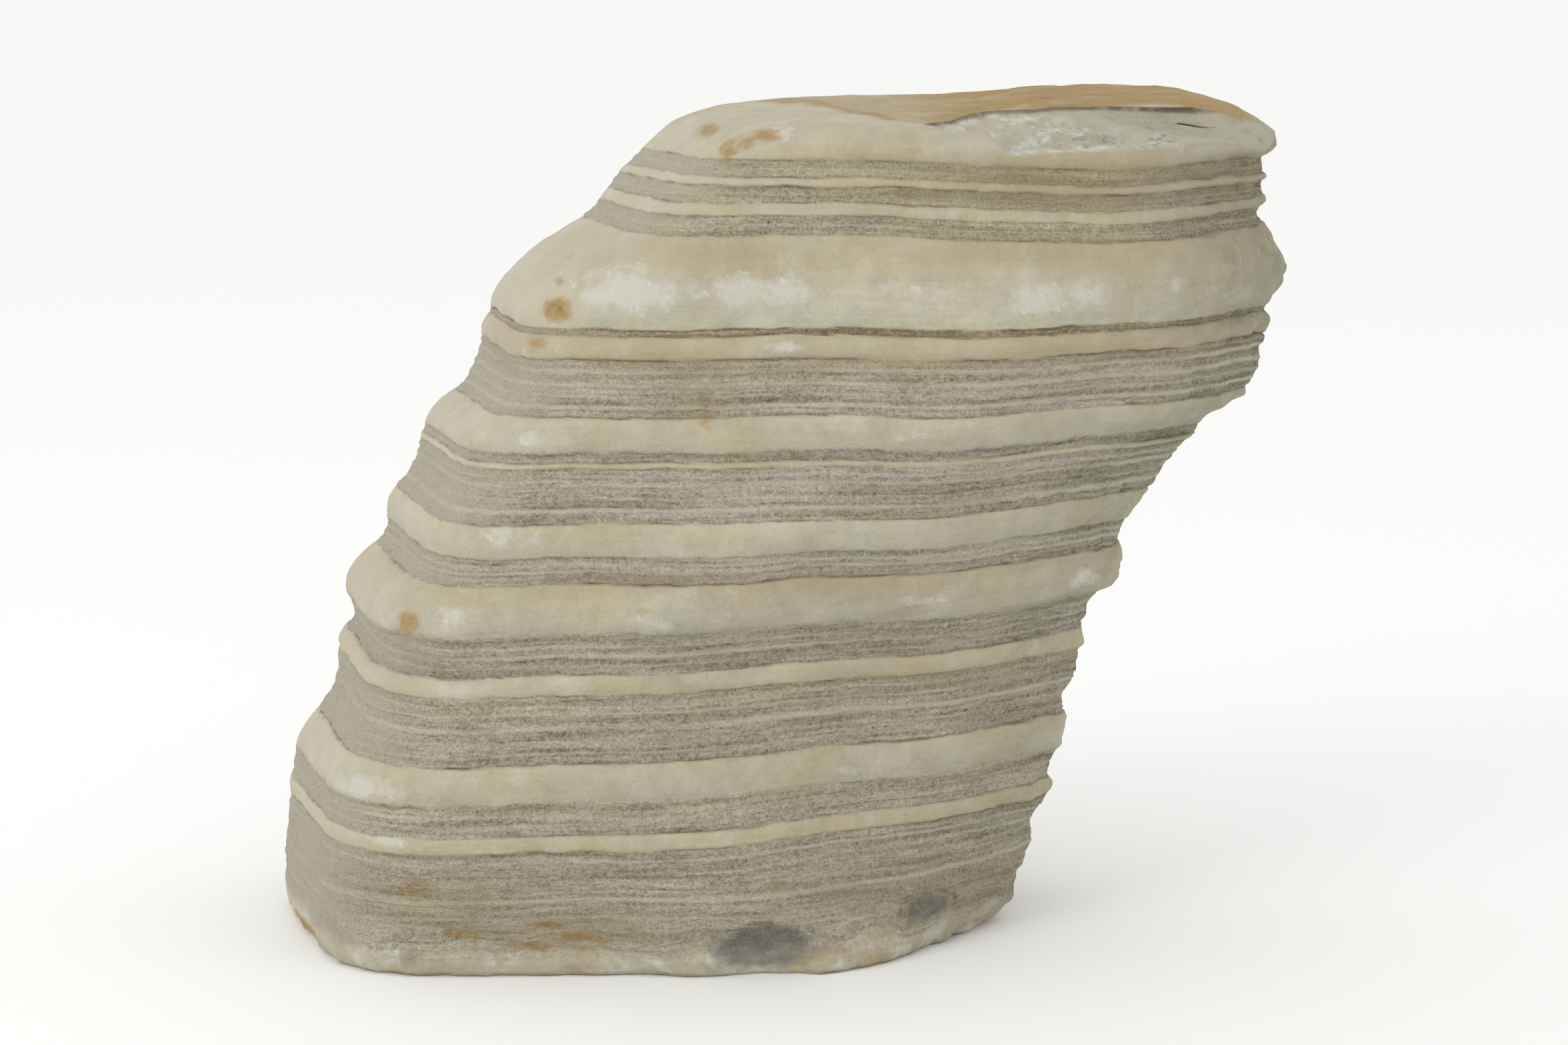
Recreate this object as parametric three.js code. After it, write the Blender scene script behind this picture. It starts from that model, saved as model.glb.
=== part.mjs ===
// A banded aquarium rock: one piece of stone in which hard cream marble beds stand out as rounded ledges
// and soft grey siltstone beds between them have worn back. The stack leans to the right on a flat foot.
// Millimetres, +Z up, front towards -Y. While the stone is shaped, x runs across from the middle of the
// front and y runs back from the front face; at the end the origin moves to the middle of its foot.
import * as THREE from 'three';
import { mergeVertices } from 'three/addons/utils/BufferGeometryUtils.js';

// The beds from the foot up: rock, thickness, and how far the bed's middle stands out of the stone's mean
// face, which is negative for beds that have worn back.
const BEDS = [
  ['marble', 10, 2.0],
  ['silt', 21, -1.2],
  ['marble', 4, 1.6],
  ['silt', 7, -1.2],
  ['marble', 10, 2.8],
  ['silt', 16.5, -1.6],
  ['marble', 5, 1.8],
  ['silt', 8.5, -1.4],
  ['marble', 13, 3.4],
  ['silt', 6.5, -1.8],
  ['marble', 8, 1.8],
  ['silt', 13, -1.6],
  ['marble', 1.5, 1.0],
  ['parting', 2, -2.0],
  ['marble', 8.5, 2.4],
  ['silt', 13.5, -1.4],
  ['marble', 5.5, 2.0],
  ['parting', 1.5, -2.6],
  ['marble', 22, 4.0],
  ['silt', 4.5, -1.8],
  ['marble', 3, 0.8],
  ['silt', 4, -1.6],
  ['marble', 2, 0.8],
  ['silt', 4, -1.5],
  ['marble', 9, 2.4],
].map(([rock, thick, out]) => ({ rock, thick, out }));

// Guide lines up the stone, as pairs of height and place. The left edge steps to the right under the
// thick beds, the right edge overhangs, and the front turns back towards the nose at the turn.
const LEFT_EDGE = [
  [0, -129], [16, -128.5], [30, -127], [44, -125], [53, -120], [59, -116.5], [71, -115], [76, -112],
  [85, -113.5], [92, -109], [97, -103.5], [109, -100], [113, -96.5], [129, -90.5], [137, -82.5],
  [152, -77], [162, -72.5], [169, -64.5], [177, -51.5], [190, -40.5], [199, -30],
];
const RIGHT_EDGE = [
  [0, 51], [6, 55.5], [30, 63.5], [44, 66.5], [66, 72], [78, 74], [89, 81], [98, 82.5], [106, 86.5],
  [123, 100], [128, 104], [133, 113], [150, 117.5], [166, 120], [176, 117.5], [188, 117], [203, 117],
];
const FRONT_TURN = [
  [0, 12], [10, 4], [22, -14], [36, -32], [54, -40], [74, -40], [95, -10], [112, 14], [135, 42], [154, 58],
  [177, 57], [203, 52],
];
const SHOULDER_DEPTH = [
  [0, 20], [30, 22], [52, 20], [74, 18], [109, 19], [135, 22], [154, 24], [166, 17], [177, 14], [203, 15],
];
const BACK_FACE = [[0, 128], [40, 131], [80, 127], [120, 130], [160, 125], [203, 119]];
const NOSE_DEPTH = 63;

// The left corner, as steps in from the left edge paired with places behind the front face.
const LEFT_CORNER = [[0, 88], [4, 60], [11, 32], [16, 17], [25, 6], [37, 1]];

// The top slopes up to the back, falls away at both ends, and has a gully where its two halves meet.
const TOP = { front: 202, rise: { left: 0.052, right: 0.08, from: 36, to: 74 }, riseEnds: 98 };
const TOP_ENDS = { left: 4, leftFall: 0.1, right: 98, rightFall: 0.2 };
const GULLY = { x: 34, lean: -0.3, reach: 13, depth: 1.5 };

// The rim rounds over inside this share of the way in. Where the front right has broken off, a rough slope
// runs from the rim up to a small step, and there is no rounding.
const RIM = { share: 0.12, drop: 3.6 };
const BREAK = { share: 0.42, fall: 4.6, step: 1.3, from: 56, to: 70, back: 48, end: 64 };

// A shell-shaped chip out of the foot at the front.
const SCOOP = { x: -4, height: 4, across: 13, up: 9, depth: 4.5, back: 40 };

// The flat foot ends this far inside the outline, and the arris above it is this high.
const FOOT_INSET = 0.03;
const ARRIS_HEIGHT = 2.2;

const AROUND = 64;
const CREAM = '#b9b199';

const { clamp, lerp, smoothstep } = THREE.MathUtils;

function guide(pairs) {
  const heights = pairs.map(([height]) => height);
  const places = pairs.map(([, place]) => place);
  const curve = new THREE.CubicInterpolant(heights, places, 1);
  return (height) => curve.evaluate(height)[0];
}

const leftEdge = guide(LEFT_EDGE);
const rightEdge = guide(RIGHT_EDGE);
const frontTurn = guide(FRONT_TURN);
const shoulderDepth = guide(SHOULDER_DEPTH);
const backFace = guide(BACK_FACE);

// The stone's outline in plan at a height, counterclockwise from the left end of the front.
function outlineAt(height) {
  const left = leftEdge(height);
  const right = rightEdge(height);
  const turn = frontTurn(height);
  const shoulder = shoulderDepth(height);
  const back = backFace(height);
  const slant = right - turn;
  const width = right - left;
  const corner = LEFT_CORNER.map(([inset, depth]) => [left + inset, depth]);
  const places = [
    corner[5],
    [(corner[5][0] + turn) / 2, 0],
    [turn, 1],
    [turn + 0.5 * slant, shoulder],
    [turn + 0.84 * slant, shoulder + 24],
    [right, NOSE_DEPTH],
    [right - 4, NOSE_DEPTH + 24],
    [right - 20, back - 17],
    [left + 0.66 * width, back - 4],
    [left + 0.36 * width, back],
    [left + 14, back - 9],
    ...corner.slice(0, 5),
  ];
  return new THREE.CatmullRomCurve3(
    places.map(([x, y]) => new THREE.Vector3(x, y, 0)), true, 'centripetal');
}

const contacts = BEDS.reduce((sums, bed) => [...sums, sums[sums.length - 1] + bed.thick], [0]);
const stackHeight = contacts[BEDS.length];
const topBedFoot = contacts[BEDS.length - 1];
const rimHeight = (topBedFoot + stackHeight) / 2;

// How far the bed at a height stands out. A ledge is rounded, a worn bed is flat between its contacts.
function reliefAt(height) {
  const index = contacts.findIndex((contact) => contact > height) - 1;
  const bed = BEDS[index];
  const share = (height - contacts[index]) / bed.thick;
  if (bed.rock === 'silt') return bed.out * (1 - Math.abs(2 * share - 1) ** 3);
  return bed.out * Math.sin(Math.PI * share ** 0.85) ** 0.75;
}

// The left face is worn smooth, since its guide line already steps with the beds, and so is the nose.
function reliefShare(x, y, left, right) {
  const leftFace = smoothstep(left + 34 - x, 0, 26) * (1 - smoothstep(y, 92, 112));
  const nose = smoothstep(x, right - 26, right);
  return 1 - 0.6 * leftFace - 0.25 * nose;
}

function lump(x, y, height) {
  return 0.6 * Math.sin(x / 13 + height / 27 + 1.3) * Math.sin(y / 19 + 0.4)
    + 0.4 * Math.sin(x / 9 - height / 15 + y / 11 + 4);
}

// The beds rise gently to the right and wander a little, but are level at the foot and under the rim.
function wander(x, y, height) {
  const share = smoothstep(height, 0, 30) * (1 - smoothstep(height, 170, topBedFoot));
  return share * (x / 110 + 0.35 * Math.sin(x / 9.5 + 0.9) + 0.3 * Math.sin(x / 23 - y / 17 + 2.1));
}

function scoopAt(x, y, height) {
  if (y > SCOOP.back) return 0;
  const across = (x - SCOOP.x) / SCOOP.across;
  const up = (height - SCOOP.height) / SCOOP.up;
  return SCOOP.depth * Math.max(0, 1 - across ** 2 - up ** 2);
}

function breakShare(x, y) {
  return smoothstep(x + y, BREAK.from, BREAK.to) * (1 - smoothstep(y, BREAK.back, BREAK.end));
}

function topAt(x, y, inset) {
  const rise = lerp(TOP.rise.left, TOP.rise.right, smoothstep(x, TOP.rise.from, TOP.rise.to));
  const ends = TOP_ENDS.leftFall * Math.max(0, TOP_ENDS.left - x)
    + TOP_ENDS.rightFall * Math.max(0, x - TOP_ENDS.right);
  const gullyX = GULLY.x + GULLY.lean * (y - 30);
  const gully = GULLY.depth * Math.exp(-(((x - gullyX) / GULLY.reach) ** 2)) * (1 - 0.8 * smoothstep(y, 20, 90));
  const inBreak = clamp(1 - inset / BREAK.share, 0, 1);
  const broken = inBreak > 0 ? breakShare(x, y) * (BREAK.step + BREAK.fall * inBreak) : 0;
  const rim = RIM.drop * (1 - breakShare(x, y)) * Math.max(0, 1 - inset / RIM.share) ** 2;
  return TOP.front + rise * Math.min(y, TOP.riseEnds) - ends - gully - broken - rim;
}

// Rows of the stone's skin from the top down: the top runs in to its middle, the wall follows the beds,
// and the foot runs in flat to its middle.
function sharesOf({ rock, thick }) {
  if (rock === 'marble' && thick > 9.5) return [0, 0.15, 0.5, 0.85];
  if (rock === 'marble' && thick > 7) return [0, 0.3, 0.75];
  if (rock === 'silt' && thick > 10) return [0, 0.2, 0.8];
  return [0, 0.5];
}

const topInsets = [1, 0.7, BREAK.share + 0.03, BREAK.share, 0.22, RIM.share, 0.06, 0.02];
const wallHeights = BEDS.flatMap((bed, i) => sharesOf(bed).map((share) => contacts[i] + share * bed.thick));
const rows = [
  ...topInsets.map((inset) => ({ height: stackHeight - 0.01, inset, isTop: true })),
  { height: rimHeight, inset: 0 },
  ...wallHeights.filter((height) => height > ARRIS_HEIGHT && height < rimHeight - 1)
    .reverse().map((height) => ({ height, inset: 0 })),
  { height: ARRIS_HEIGHT, inset: 0 },
  { height: 0, inset: FOOT_INSET },
  { height: 0, inset: 1 },
];

const middleOutline = outlineAt(stackHeight / 2);

function heightAt(place, row) {
  if (row.isTop) return topAt(place.x, place.y, row.inset);
  if (row.height <= topBedFoot) return row.height + wander(place.x, place.y, row.height);
  const rim = topAt(place.x, place.y, 0);
  return topBedFoot + (row.height - topBedFoot) * (rim - topBedFoot) / (rimHeight - topBedFoot);
}

function placeAt(column, row) {
  const outline = outlineAt(row.height);
  const along = middleOutline.getUtoTmapping(column / AROUND);
  const place = outline.getPoint(along);
  const tangent = outline.getTangent(along);
  const left = leftEdge(row.height);
  const right = rightEdge(row.height);
  const wall = Math.min(row.height, rimHeight);
  const out = reliefAt(wall) * reliefShare(place.x, place.y, left, right)
    + lump(place.x, place.y, wall) - scoopAt(place.x, place.y, wall);
  place.x += tangent.y * out;
  place.y -= tangent.x * out;
  place.lerp(new THREE.Vector3((left + right) / 2, backFace(row.height) / 2, 0), row.inset);
  place.z = heightAt(place, row);
  return place;
}

// A sphere's skin has the same rows and columns as the stone's, so each of its points moves to its place.
function stoneGeometry() {
  const skin = new THREE.SphereGeometry(1, AROUND, rows.length - 1);
  const points = skin.getAttribute('position');
  rows.forEach((row, r) => {
    for (let column = 0; column <= AROUND; column += 1) {
      const place = placeAt(column % AROUND, row);
      points.setXYZ(r * (AROUND + 1) + column, place.x, place.y, place.z);
    }
  });
  skin.deleteAttribute('normal');
  skin.deleteAttribute('uv');
  const closed = mergeVertices(skin);
  closed.computeBoundingBox();
  const middle = closed.boundingBox.getCenter(new THREE.Vector3());
  closed.translate(-middle.x, -middle.y, 0);
  closed.computeVertexNormals();
  return closed;
}

const stone = new THREE.Mesh(
  stoneGeometry(),
  new THREE.MeshStandardMaterial({ color: CREAM, roughness: 0.72, metalness: 0 }),
);
stone.name = 'layered_stone';

const rock = new THREE.Group();
rock.add(stone);

export default rock;
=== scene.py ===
"""A banded aquarium rock: a leaning stone of cream marble ledges and grey silt beds, on a pale floor."""

import bpy
import numpy as np
from bpy.props import FloatProperty, FloatVectorProperty, IntProperty, PointerProperty
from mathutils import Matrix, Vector


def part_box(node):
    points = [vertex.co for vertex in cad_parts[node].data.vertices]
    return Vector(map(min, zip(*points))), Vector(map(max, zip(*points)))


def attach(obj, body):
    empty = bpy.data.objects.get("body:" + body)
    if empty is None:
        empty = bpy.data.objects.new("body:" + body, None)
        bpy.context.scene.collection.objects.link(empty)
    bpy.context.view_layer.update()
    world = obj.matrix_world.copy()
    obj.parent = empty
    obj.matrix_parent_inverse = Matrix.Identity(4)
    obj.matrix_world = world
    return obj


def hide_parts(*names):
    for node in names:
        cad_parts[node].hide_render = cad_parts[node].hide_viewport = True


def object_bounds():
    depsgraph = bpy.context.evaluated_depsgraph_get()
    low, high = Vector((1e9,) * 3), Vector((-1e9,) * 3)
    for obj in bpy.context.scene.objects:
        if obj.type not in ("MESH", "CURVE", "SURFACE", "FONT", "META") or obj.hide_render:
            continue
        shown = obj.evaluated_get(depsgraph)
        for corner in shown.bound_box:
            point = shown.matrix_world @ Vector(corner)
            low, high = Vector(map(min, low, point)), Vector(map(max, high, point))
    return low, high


bl_info = {
    "name": "Banded aquarium rock",
    "version": (1, 0, 0),
    "blender": (4, 5, 0),
    "location": "3D View > Sidebar > Banded Rock",
    "description": "Makes a leaning banded stone with marble ledges between worn silt beds",
    "category": "Add Mesh",
}

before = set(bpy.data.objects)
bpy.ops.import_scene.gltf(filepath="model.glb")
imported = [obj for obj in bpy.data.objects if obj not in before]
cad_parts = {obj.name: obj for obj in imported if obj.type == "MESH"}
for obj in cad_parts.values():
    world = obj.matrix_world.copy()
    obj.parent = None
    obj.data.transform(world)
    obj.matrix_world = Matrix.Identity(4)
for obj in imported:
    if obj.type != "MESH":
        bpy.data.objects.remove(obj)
CAD_BOUNDS = [list(corner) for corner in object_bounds()]

# The stone is shaped in millimetres, with x from the middle of the front and y back from the front face.
MM = 0.001

# The beds from the foot up: rock, thickness, how far it stands out (below 0 it is worn back), the colours at
# its foot and its head, and how open the seam at its foot is.
BEDS = [
    ("marble", 10, 0.2, "cream", "silt_mid", 0.0),
    ("silt", 21, -0.5, "silt_mid", "silt_mid", 0.0),
    ("marble", 4, 1.0, "tan", "cream", 0.5),
    ("silt", 7, -0.5, "silt_mid", "silt_light", 0.5),
    ("marble", 10, 2.0, "cool", "cream", 0.1),
    ("silt", 16.5, -0.6, "silt_mid", "silt_light", 0.9),
    ("marble", 5, 1.4, "tan", "cream", 0.35),
    ("silt", 8.5, -0.6, "silt_dark", "silt_mid", 0.7),
    ("marble", 13, 3.0, "cool", "tan", 0.1),
    ("silt", 6.5, -0.7, "silt_mid", "silt_mid", 0.8),
    ("marble", 8, 1.3, "cool", "cream", 0.4),
    ("silt", 13, -0.5, "silt_mid", "silt_mid", 0.5),
    ("marble", 1.5, 0.8, "cream", "cream", 0.4),
    ("parting", 2, -0.6, "silt_mid", "silt_dark", 0.7),
    ("marble", 8.5, 1.8, "cool", "cream", 0.25),
    ("silt", 13.5, -0.4, "silt_mid", "silt_light", 0.5),
    ("marble", 5.5, 2.0, "tan", "tan", 0.7),
    ("parting", 1.5, -0.4, "stain", "stain", 0.45),
    ("marble", 22, 4.2, "pale", "tan", 0.9),
    ("silt", 4.5, -0.6, "silt_light", "silt_light", 0.5),
    ("marble", 3, 0.8, "cream", "cream", 0.3),
    ("silt", 4, -0.6, "silt_light", "silt_light", 0.8),
    ("marble", 2, 0.8, "cream", "cream", 0.9),
    ("silt", 4, -0.5, "silt_light", "silt_light", 0.5),
    ("marble", 9, 2.4, "tan", "pale", 0.6),
]

# Guide lines up the stone, as pairs of height and place.
LEFT_EDGE = [
    (0, -129), (16, -128.5), (30, -127), (44, -125), (53, -120), (59, -116.5), (71, -115), (76, -112),
    (85, -113.5), (92, -109), (97, -103.5), (109, -100), (113, -96.5), (129, -90.5), (137, -82.5),
    (152, -77), (162, -72.5), (169, -64.5), (177, -51.5), (190, -40.5), (199, -30),
]
RIGHT_EDGE = [
    (0, 51), (6, 55.5), (30, 63.5), (44, 66.5), (66, 72), (78, 74), (89, 81), (98, 82.5), (106, 86.5),
    (123, 100), (128, 104), (133, 113), (150, 117.5), (166, 120), (176, 117.5), (188, 117), (203, 117),
]
FRONT_TURN = [
    (0, 8), (10, 2), (22, -14), (36, -32), (54, -40), (74, -40), (95, -10), (112, 14), (135, 42),
    (154, 58), (177, 57), (203, 52),
]
SHOULDER_DEPTH = [
    (0, 20), (30, 22), (52, 20), (74, 18), (109, 19), (135, 22), (154, 24), (166, 17), (177, 14),
    (203, 15),
]
BACK_FACE = [(0, 128), (40, 131), (80, 127), (120, 130), (160, 125), (203, 119)]
NOSE_DEPTH = 63

# The height of the top at the front, and how far in and how deep its rim is rounded.
TOP_FRONT = 202
RIM_SHARE = 0.12
RIM_DROP = 3.6

# The broken slope at the front right: the line of its inner edge as x and y, its step and its fall.
BREAK_EDGE = [
    (20, 30), (36, 31), (41, 38), (47, 46), (60, 45), (77, 47), (90, 53), (94, 52), (97, 45), (102, 41),
    (112, 46), (118, 52),
]
BREAK_STEP = 1.0
BREAK_FALL = 4.6

# The share of the way in at which one ring of the top follows the crack along the break.
CRACK_RING = 0.42

# The foot's arris: where it starts, and pairs of height and share of the way in.
ARRIS_HEIGHT = 2.2
ARRIS = [(1.5, 0.003), (0.9, 0.009), (0.4, 0.018), (0.1, 0.025), (0, 0.03), (0, 0.3), (0, 0.7)]

# Half the width of an open seam, and the softness of a colour change between two beds.
SEAM_HALF = 0.24
CONTACT_SOFTNESS = 0.12

# The steps in which the wall's rows are spaced out, and the spacing on marble beside that on silt.
FINE_STEP = 0.02
MARBLE_SPACING = 1.75

# Thin cream ribs inside the silt beds: height, half thickness, strength.
RIBS = [
    (12.6, 0.4, 0.5), (14.9, 0.5, 0.45), (19.0, 0.5, 1.0), (23.2, 0.35, 0.4), (26.0, 0.4, 0.35),
    (28.6, 0.45, 0.6), (37.6, 0.4, 0.45), (39.9, 0.35, 0.4), (54.6, 0.4, 0.5), (57.3, 0.4, 0.4),
    (60.6, 0.6, 1.0), (64.0, 0.4, 0.6), (66.4, 0.35, 0.5), (75.6, 0.35, 0.4), (78.0, 0.45, 0.7),
    (80.2, 0.35, 0.6), (96.6, 0.35, 0.4), (98.0, 0.45, 0.8), (99.7, 0.4, 0.7), (112.6, 0.6, 1.0),
    (115.4, 0.45, 0.5), (118.6, 0.55, 0.7), (120.6, 0.4, 0.5), (137.0, 0.5, 1.0), (139.6, 0.4, 0.55),
    (142.1, 0.6, 1.0), (145.3, 0.55, 1.0), (147.0, 0.3, 0.5), (179.2, 0.4, 0.5), (186.4, 0.4, 0.5),
    (192.3, 0.4, 0.4),
]

# Marks on the faces: place across, behind the front and up, half width, half height, strength.
RUST = [
    (-19, 46, 200, 3.4, 1.8, 0.95), (-14, 17, 196, 2.6, 3.2, 1.0), (-10, 16, 198, 2.6, 2.0, 0.95),
    (-5, 16, 200, 4.4, 1.6, 0.9), (-54.6, 13, 159, 3.2, 2.6, 1.2), (-52.4, 13, 160.6, 2.2, 1.8, 0.95),
    (-52, 41, 169, 1.9, 1.4, 1.3), (-54, 22, 165, 1.6, 1.2, 1.1), (-66, 60, 162, 1.8, 1.8, 1.2),
    (-67, 18, 153, 1.8, 1.4, 1.0), (-59, 18, 151, 3.0, 1.6, 0.8), (-20, 6, 138, 2.4, 4.6, 0.68),
    (-19, 4, 134, 2.2, 2.4, 0.74), (-74, 20, 126, 2.6, 2.0, 0.7), (-90, 12, 85, 2.7, 2.7, 1.2),
    (-93, 14, 83, 1.2, 2.4, 0.95), (-89, 7, 21, 5.0, 3.6, 0.66), (-90, 7, 16, 7.0, 1.2, 0.55),
    (-57, 5, 13, 4.0, 0.9, 0.95), (-51, 5, 10, 4.4, 1.3, 0.9), (-44, 5, 9, 3.0, 1.3, 0.8),
    (-78, 4, 11, 6.0, 1.8, 0.7), (-62, 3, 8, 10.0, 1.8, 0.68), (54, 55, 13, 4.5, 2.5, 0.5),
    (-4, 9, 22, 6.0, 2.0, 0.55), (-121, 36, 3, 7.0, 1.8, 0.95), (-34, 3, 89, 2.4, 1.4, 0.7),
]
# White calcite patches, partly painted highlights, as on the lit lower half of the big marble ledge.
CALCITE_AND_HIGHLIGHTS = [
    (-37, 4, 164, 12, 5.2, 1.5), (-6, 1, 165, 12, 4.2, 1.05), (29, 0, 164, 8, 3.8, 1.0),
    (62, 3, 162, 14, 3.8, 0.95), (92, 18, 165, 8, 3.6, 0.7), (0, 3, 151, 6, 1.3, 0.9),
    (-60, 6, 129, 5.0, 1.8, 0.7), (29, 2, 130, 5, 1.6, 0.8), (-67, 5, 106, 8, 3.4, 0.62),
    (-79, 4, 87, 5, 4.0, 0.65), (-32, 1, 86, 5.5, 2.2, 0.9), (35, 21, 88, 5, 1.2, 0.9),
    (73, 50, 90, 5, 3.2, 0.8), (-99, 9, 45, 13, 3.2, 0.9), (-95, 7, 33, 5, 1.8, 0.9),
    (-3, 12, 200, 6, 2.8, 0.9), (-101, 10, 8, 8, 3.6, 0.8), (-75, 2, 6, 10, 3.0, 0.8),
    (18, 24, 46, 7, 1.8, 0.9), (-72, 7, 59, 6, 2.0, 0.6), (-120, 30, 8, 6, 3, 0.7),
    (-40, 3, 4, 9, 2.4, 0.7),
]
STAIN = [
    (66, 6, 189, 42, 6, 1.1), (58, 6, 172, 34, 4.5, 0.8), (-12, 2, 172, 30, 3.5, 0.55),
    (40, 4, 149, 60, 2.6, 0.7), (-30, 2, 95, 24, 2.2, 0.9), (10, 6, 94, 26, 2.4, 0.8),
    (-22, 3, 141, 7, 7, 0.9), (-82, 6, 19, 18, 8, 0.6), (20, 20, 17, 18, 6, 0.5),
    (-50, 3, 11, 30, 4, 0.7), (30, 24, 70, 26, 4, 0.5), (-66, 12, 150, 14, 5, 0.6),
    (40, 26, 12, 20, 5, 0.6), (-20, 2, 148, 24, 3, 0.6),
]
# Grey hollows, mostly at the foot, partly painted shade in the scoops.
HOLLOW = [
    (-6, 5, 7, 11, 5.0, 1.2), (34, 29, 11, 6.5, 3.0, 0.9), (-89, 4, 5, 5.0, 4.2, 0.5),
    (82, 11, 165, 4, 2.4, 0.5),
]

# How much of the distance behind a mark's place counts, and how fast a mark fades.
MARK_DEPTH_SHARE = 0.2
MARK_FADE = 0.7

# The noise repeats itself after this many bumps.
NOISE_CELLS = 32

# Room left between the mesh and the solid's box.
BOX_MARGIN = (0.6, 0.6, 0.3)

# The bed at which the second colour ramp takes over from the first.
RAMP_SPLIT = 11

# Depths in metres of the slope's chips and of the bumps.
CHIP_DEPTH = 0.0018
GRAIN_DEPTH = 0.0009
GROOVE_DEPTH = 0.0006
DENT_DEPTH = 0.0011

# The camera: the photo's width and the focal length in its pixels, the sensor's width in millimetres, the
# place beside the middle, before the front face and above the floor in metres, and the tilt down in degrees.
PHOTO_WIDTH = 2352
FOCAL_LENGTH = 6000
SENSOR_WIDTH = 36
CAMERA_ASIDE = 0.0018
CAMERA_BEFORE = 0.925
CAMERA_HEIGHT = 0.2318
CAMERA_TILT = 7.5

# How far the floor reaches to each side, and how far the camera sees, in metres.
FLOOR_REACH = 400
SIGHT = 1000


def paint(web_colour):
    """A web colour as the linear red, green and blue that a shader takes."""
    shares = [int(web_colour[i:i + 2], 16) / 255 for i in (0, 2, 4)]
    return tuple(share / 12.92 if share <= 0.04045 else ((share + 0.055) / 1.055) ** 2.4
                 for share in shares)


def size_property(name, description, millimetres):
    return FloatProperty(name=name, description=description, default=millimetres * MM, min=0, precision=5,
                         subtype="DISTANCE", unit="LENGTH")


def colour_property(name, description, web_colour):
    return FloatVectorProperty(name=name, description=description, default=paint(web_colour), min=0, max=1,
                               subtype="COLOR")


class RockSettings(bpy.types.PropertyGroup):
    """Sizes and colours of the stone that a user would change."""

    columns: IntProperty(name="Columns", description="Points round the stone", default=174, min=60,
                         max=400)
    row_height: size_property("Row height", "Height of one row of faces on the silt beds", 0.48)
    lamina_depth: size_property("Lamina depth", "Depth of the fine grooves in the silt beds", 0.42)
    lamina_spacing: size_property("Lamina spacing", "Height from one fine groove to the next", 1.5)
    pit_depth: size_property("Pit depth", "Depth of the worn pits in the silt beds", 0.75)
    ledge_wear: size_property("Ledge wear", "Depth of the dents worn into the marble ledges", 0.9)
    seed: IntProperty(name="Seed", description="Which pattern of wear the stone has", default=7)
    pale: colour_property("Pale marble", "Colour of the whitest marble", "b6b39f")
    cream: colour_property("Cream marble", "Colour of most of the marble", "b2ab90")
    tan: colour_property("Tan marble", "Colour of the stained marble", "aea386")
    silt_light: colour_property("Light silt", "Colour of the silt beds near the top", "b3aa91")
    silt_mid: colour_property("Silt", "Colour of most of the silt beds", "ada691")
    silt_dark: colour_property("Dark silt", "Colour of the darkest silt beds", "a39c88")
    cool: colour_property("Grey marble", "Colour of the greyish foot of a marble bed", "a9a592")
    # Shaded end: painted shade, an olive tint that darkens the right end as if less light fell there.
    olive: colour_property("Shaded end", "Colour of the greenish end at the right", "a6a488")
    stain: colour_property("Stain", "Colour of the brownish tint on parts of the beds", "a39678")
    # Seam: the dark colour between the beds, partly dirt and partly painted shade in the notches; it also
    # darkens the bedding plane and the rims of the hollows.
    seam: colour_property("Seam", "Colour of the dirt in the seams between the beds", "7a6d4f")
    rib: colour_property("Rib", "Colour of the thin ribs in the silt", "cac4b0")
    # Worn face: the colour of the smoothly worn left end, also painted lighter as painted light on that side.
    bleached_and_lit: colour_property("Worn face", "Colour of the smoothly worn faces at the left", "c2bba7")
    # Calcite: the white patches, partly white stone and partly painted highlight.
    calcite_and_highlight: colour_property("Calcite", "Colour of the white patches", "c4c3b7")
    rust: colour_property("Rust", "Colour of the ochre stains", "9f8250")
    bedding: colour_property("Bedding plane", "Colour of the ochre plane on top", "9b7f48")
    broken: colour_property("Broken face", "Colour of the broken slope on top", "aeaa95")
    crack: colour_property("Crack", "Colour of the crack along the broken slope", "54462b")
    fleck: colour_property("Flecks", "Colour of the blue-green flecks in the broken slope", "5f7872")
    # Hollow: grey, partly painted shade in the scoops at the foot.
    hollow: colour_property("Hollow", "Colour of the grey hollows at the foot", "75746c")


def guide(pairs):
    """A smooth line through pairs of height and place."""
    heights, places = np.array(pairs, float).T
    slopes = np.diff(places) / np.diff(heights)
    tangents = np.concatenate([slopes[:1], (slopes[:-1] + slopes[1:]) / 2, slopes[-1:]])

    def at(height):
        held = np.clip(height, heights[0], heights[-1])
        below = np.clip(np.searchsorted(heights, held, side="right") - 1, 0, len(heights) - 2)
        above = below + 1
        span = heights[above] - heights[below]
        share = (held - heights[below]) / span
        return (places[below] * (1 + 2 * share) * (1 - share) ** 2
                + tangents[below] * span * share * (1 - share) ** 2
                + places[above] * share ** 2 * (3 - 2 * share)
                + tangents[above] * span * share ** 2 * (share - 1))

    return at


left_edge = guide(LEFT_EDGE)
right_edge = guide(RIGHT_EDGE)
front_turn = guide(FRONT_TURN)
shoulder_depth = guide(SHOULDER_DEPTH)
back_face = guide(BACK_FACE)

# The columns of the bed list, and the heights at which one bed ends and the next begins.
ROCKS, THICKNESSES, REACHES, _, _, SEAMS = (np.array(column) for column in zip(*BEDS))
IS_MARBLE = ROCKS == "marble"
CONTACTS = np.concatenate([[0], np.cumsum(THICKNESSES)])
STACK = CONTACTS[-1]
TOP_BED_FOOT = CONTACTS[-2]
RIM_HEIGHT = (TOP_BED_FOOT + STACK) / 2

# How far up from its foot each marble bed is still silty: further where no seam is open.
FOOT_FADES = 0.25 * THICKNESSES * np.maximum(0.04, 1 - SEAMS / 0.5)

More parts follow.
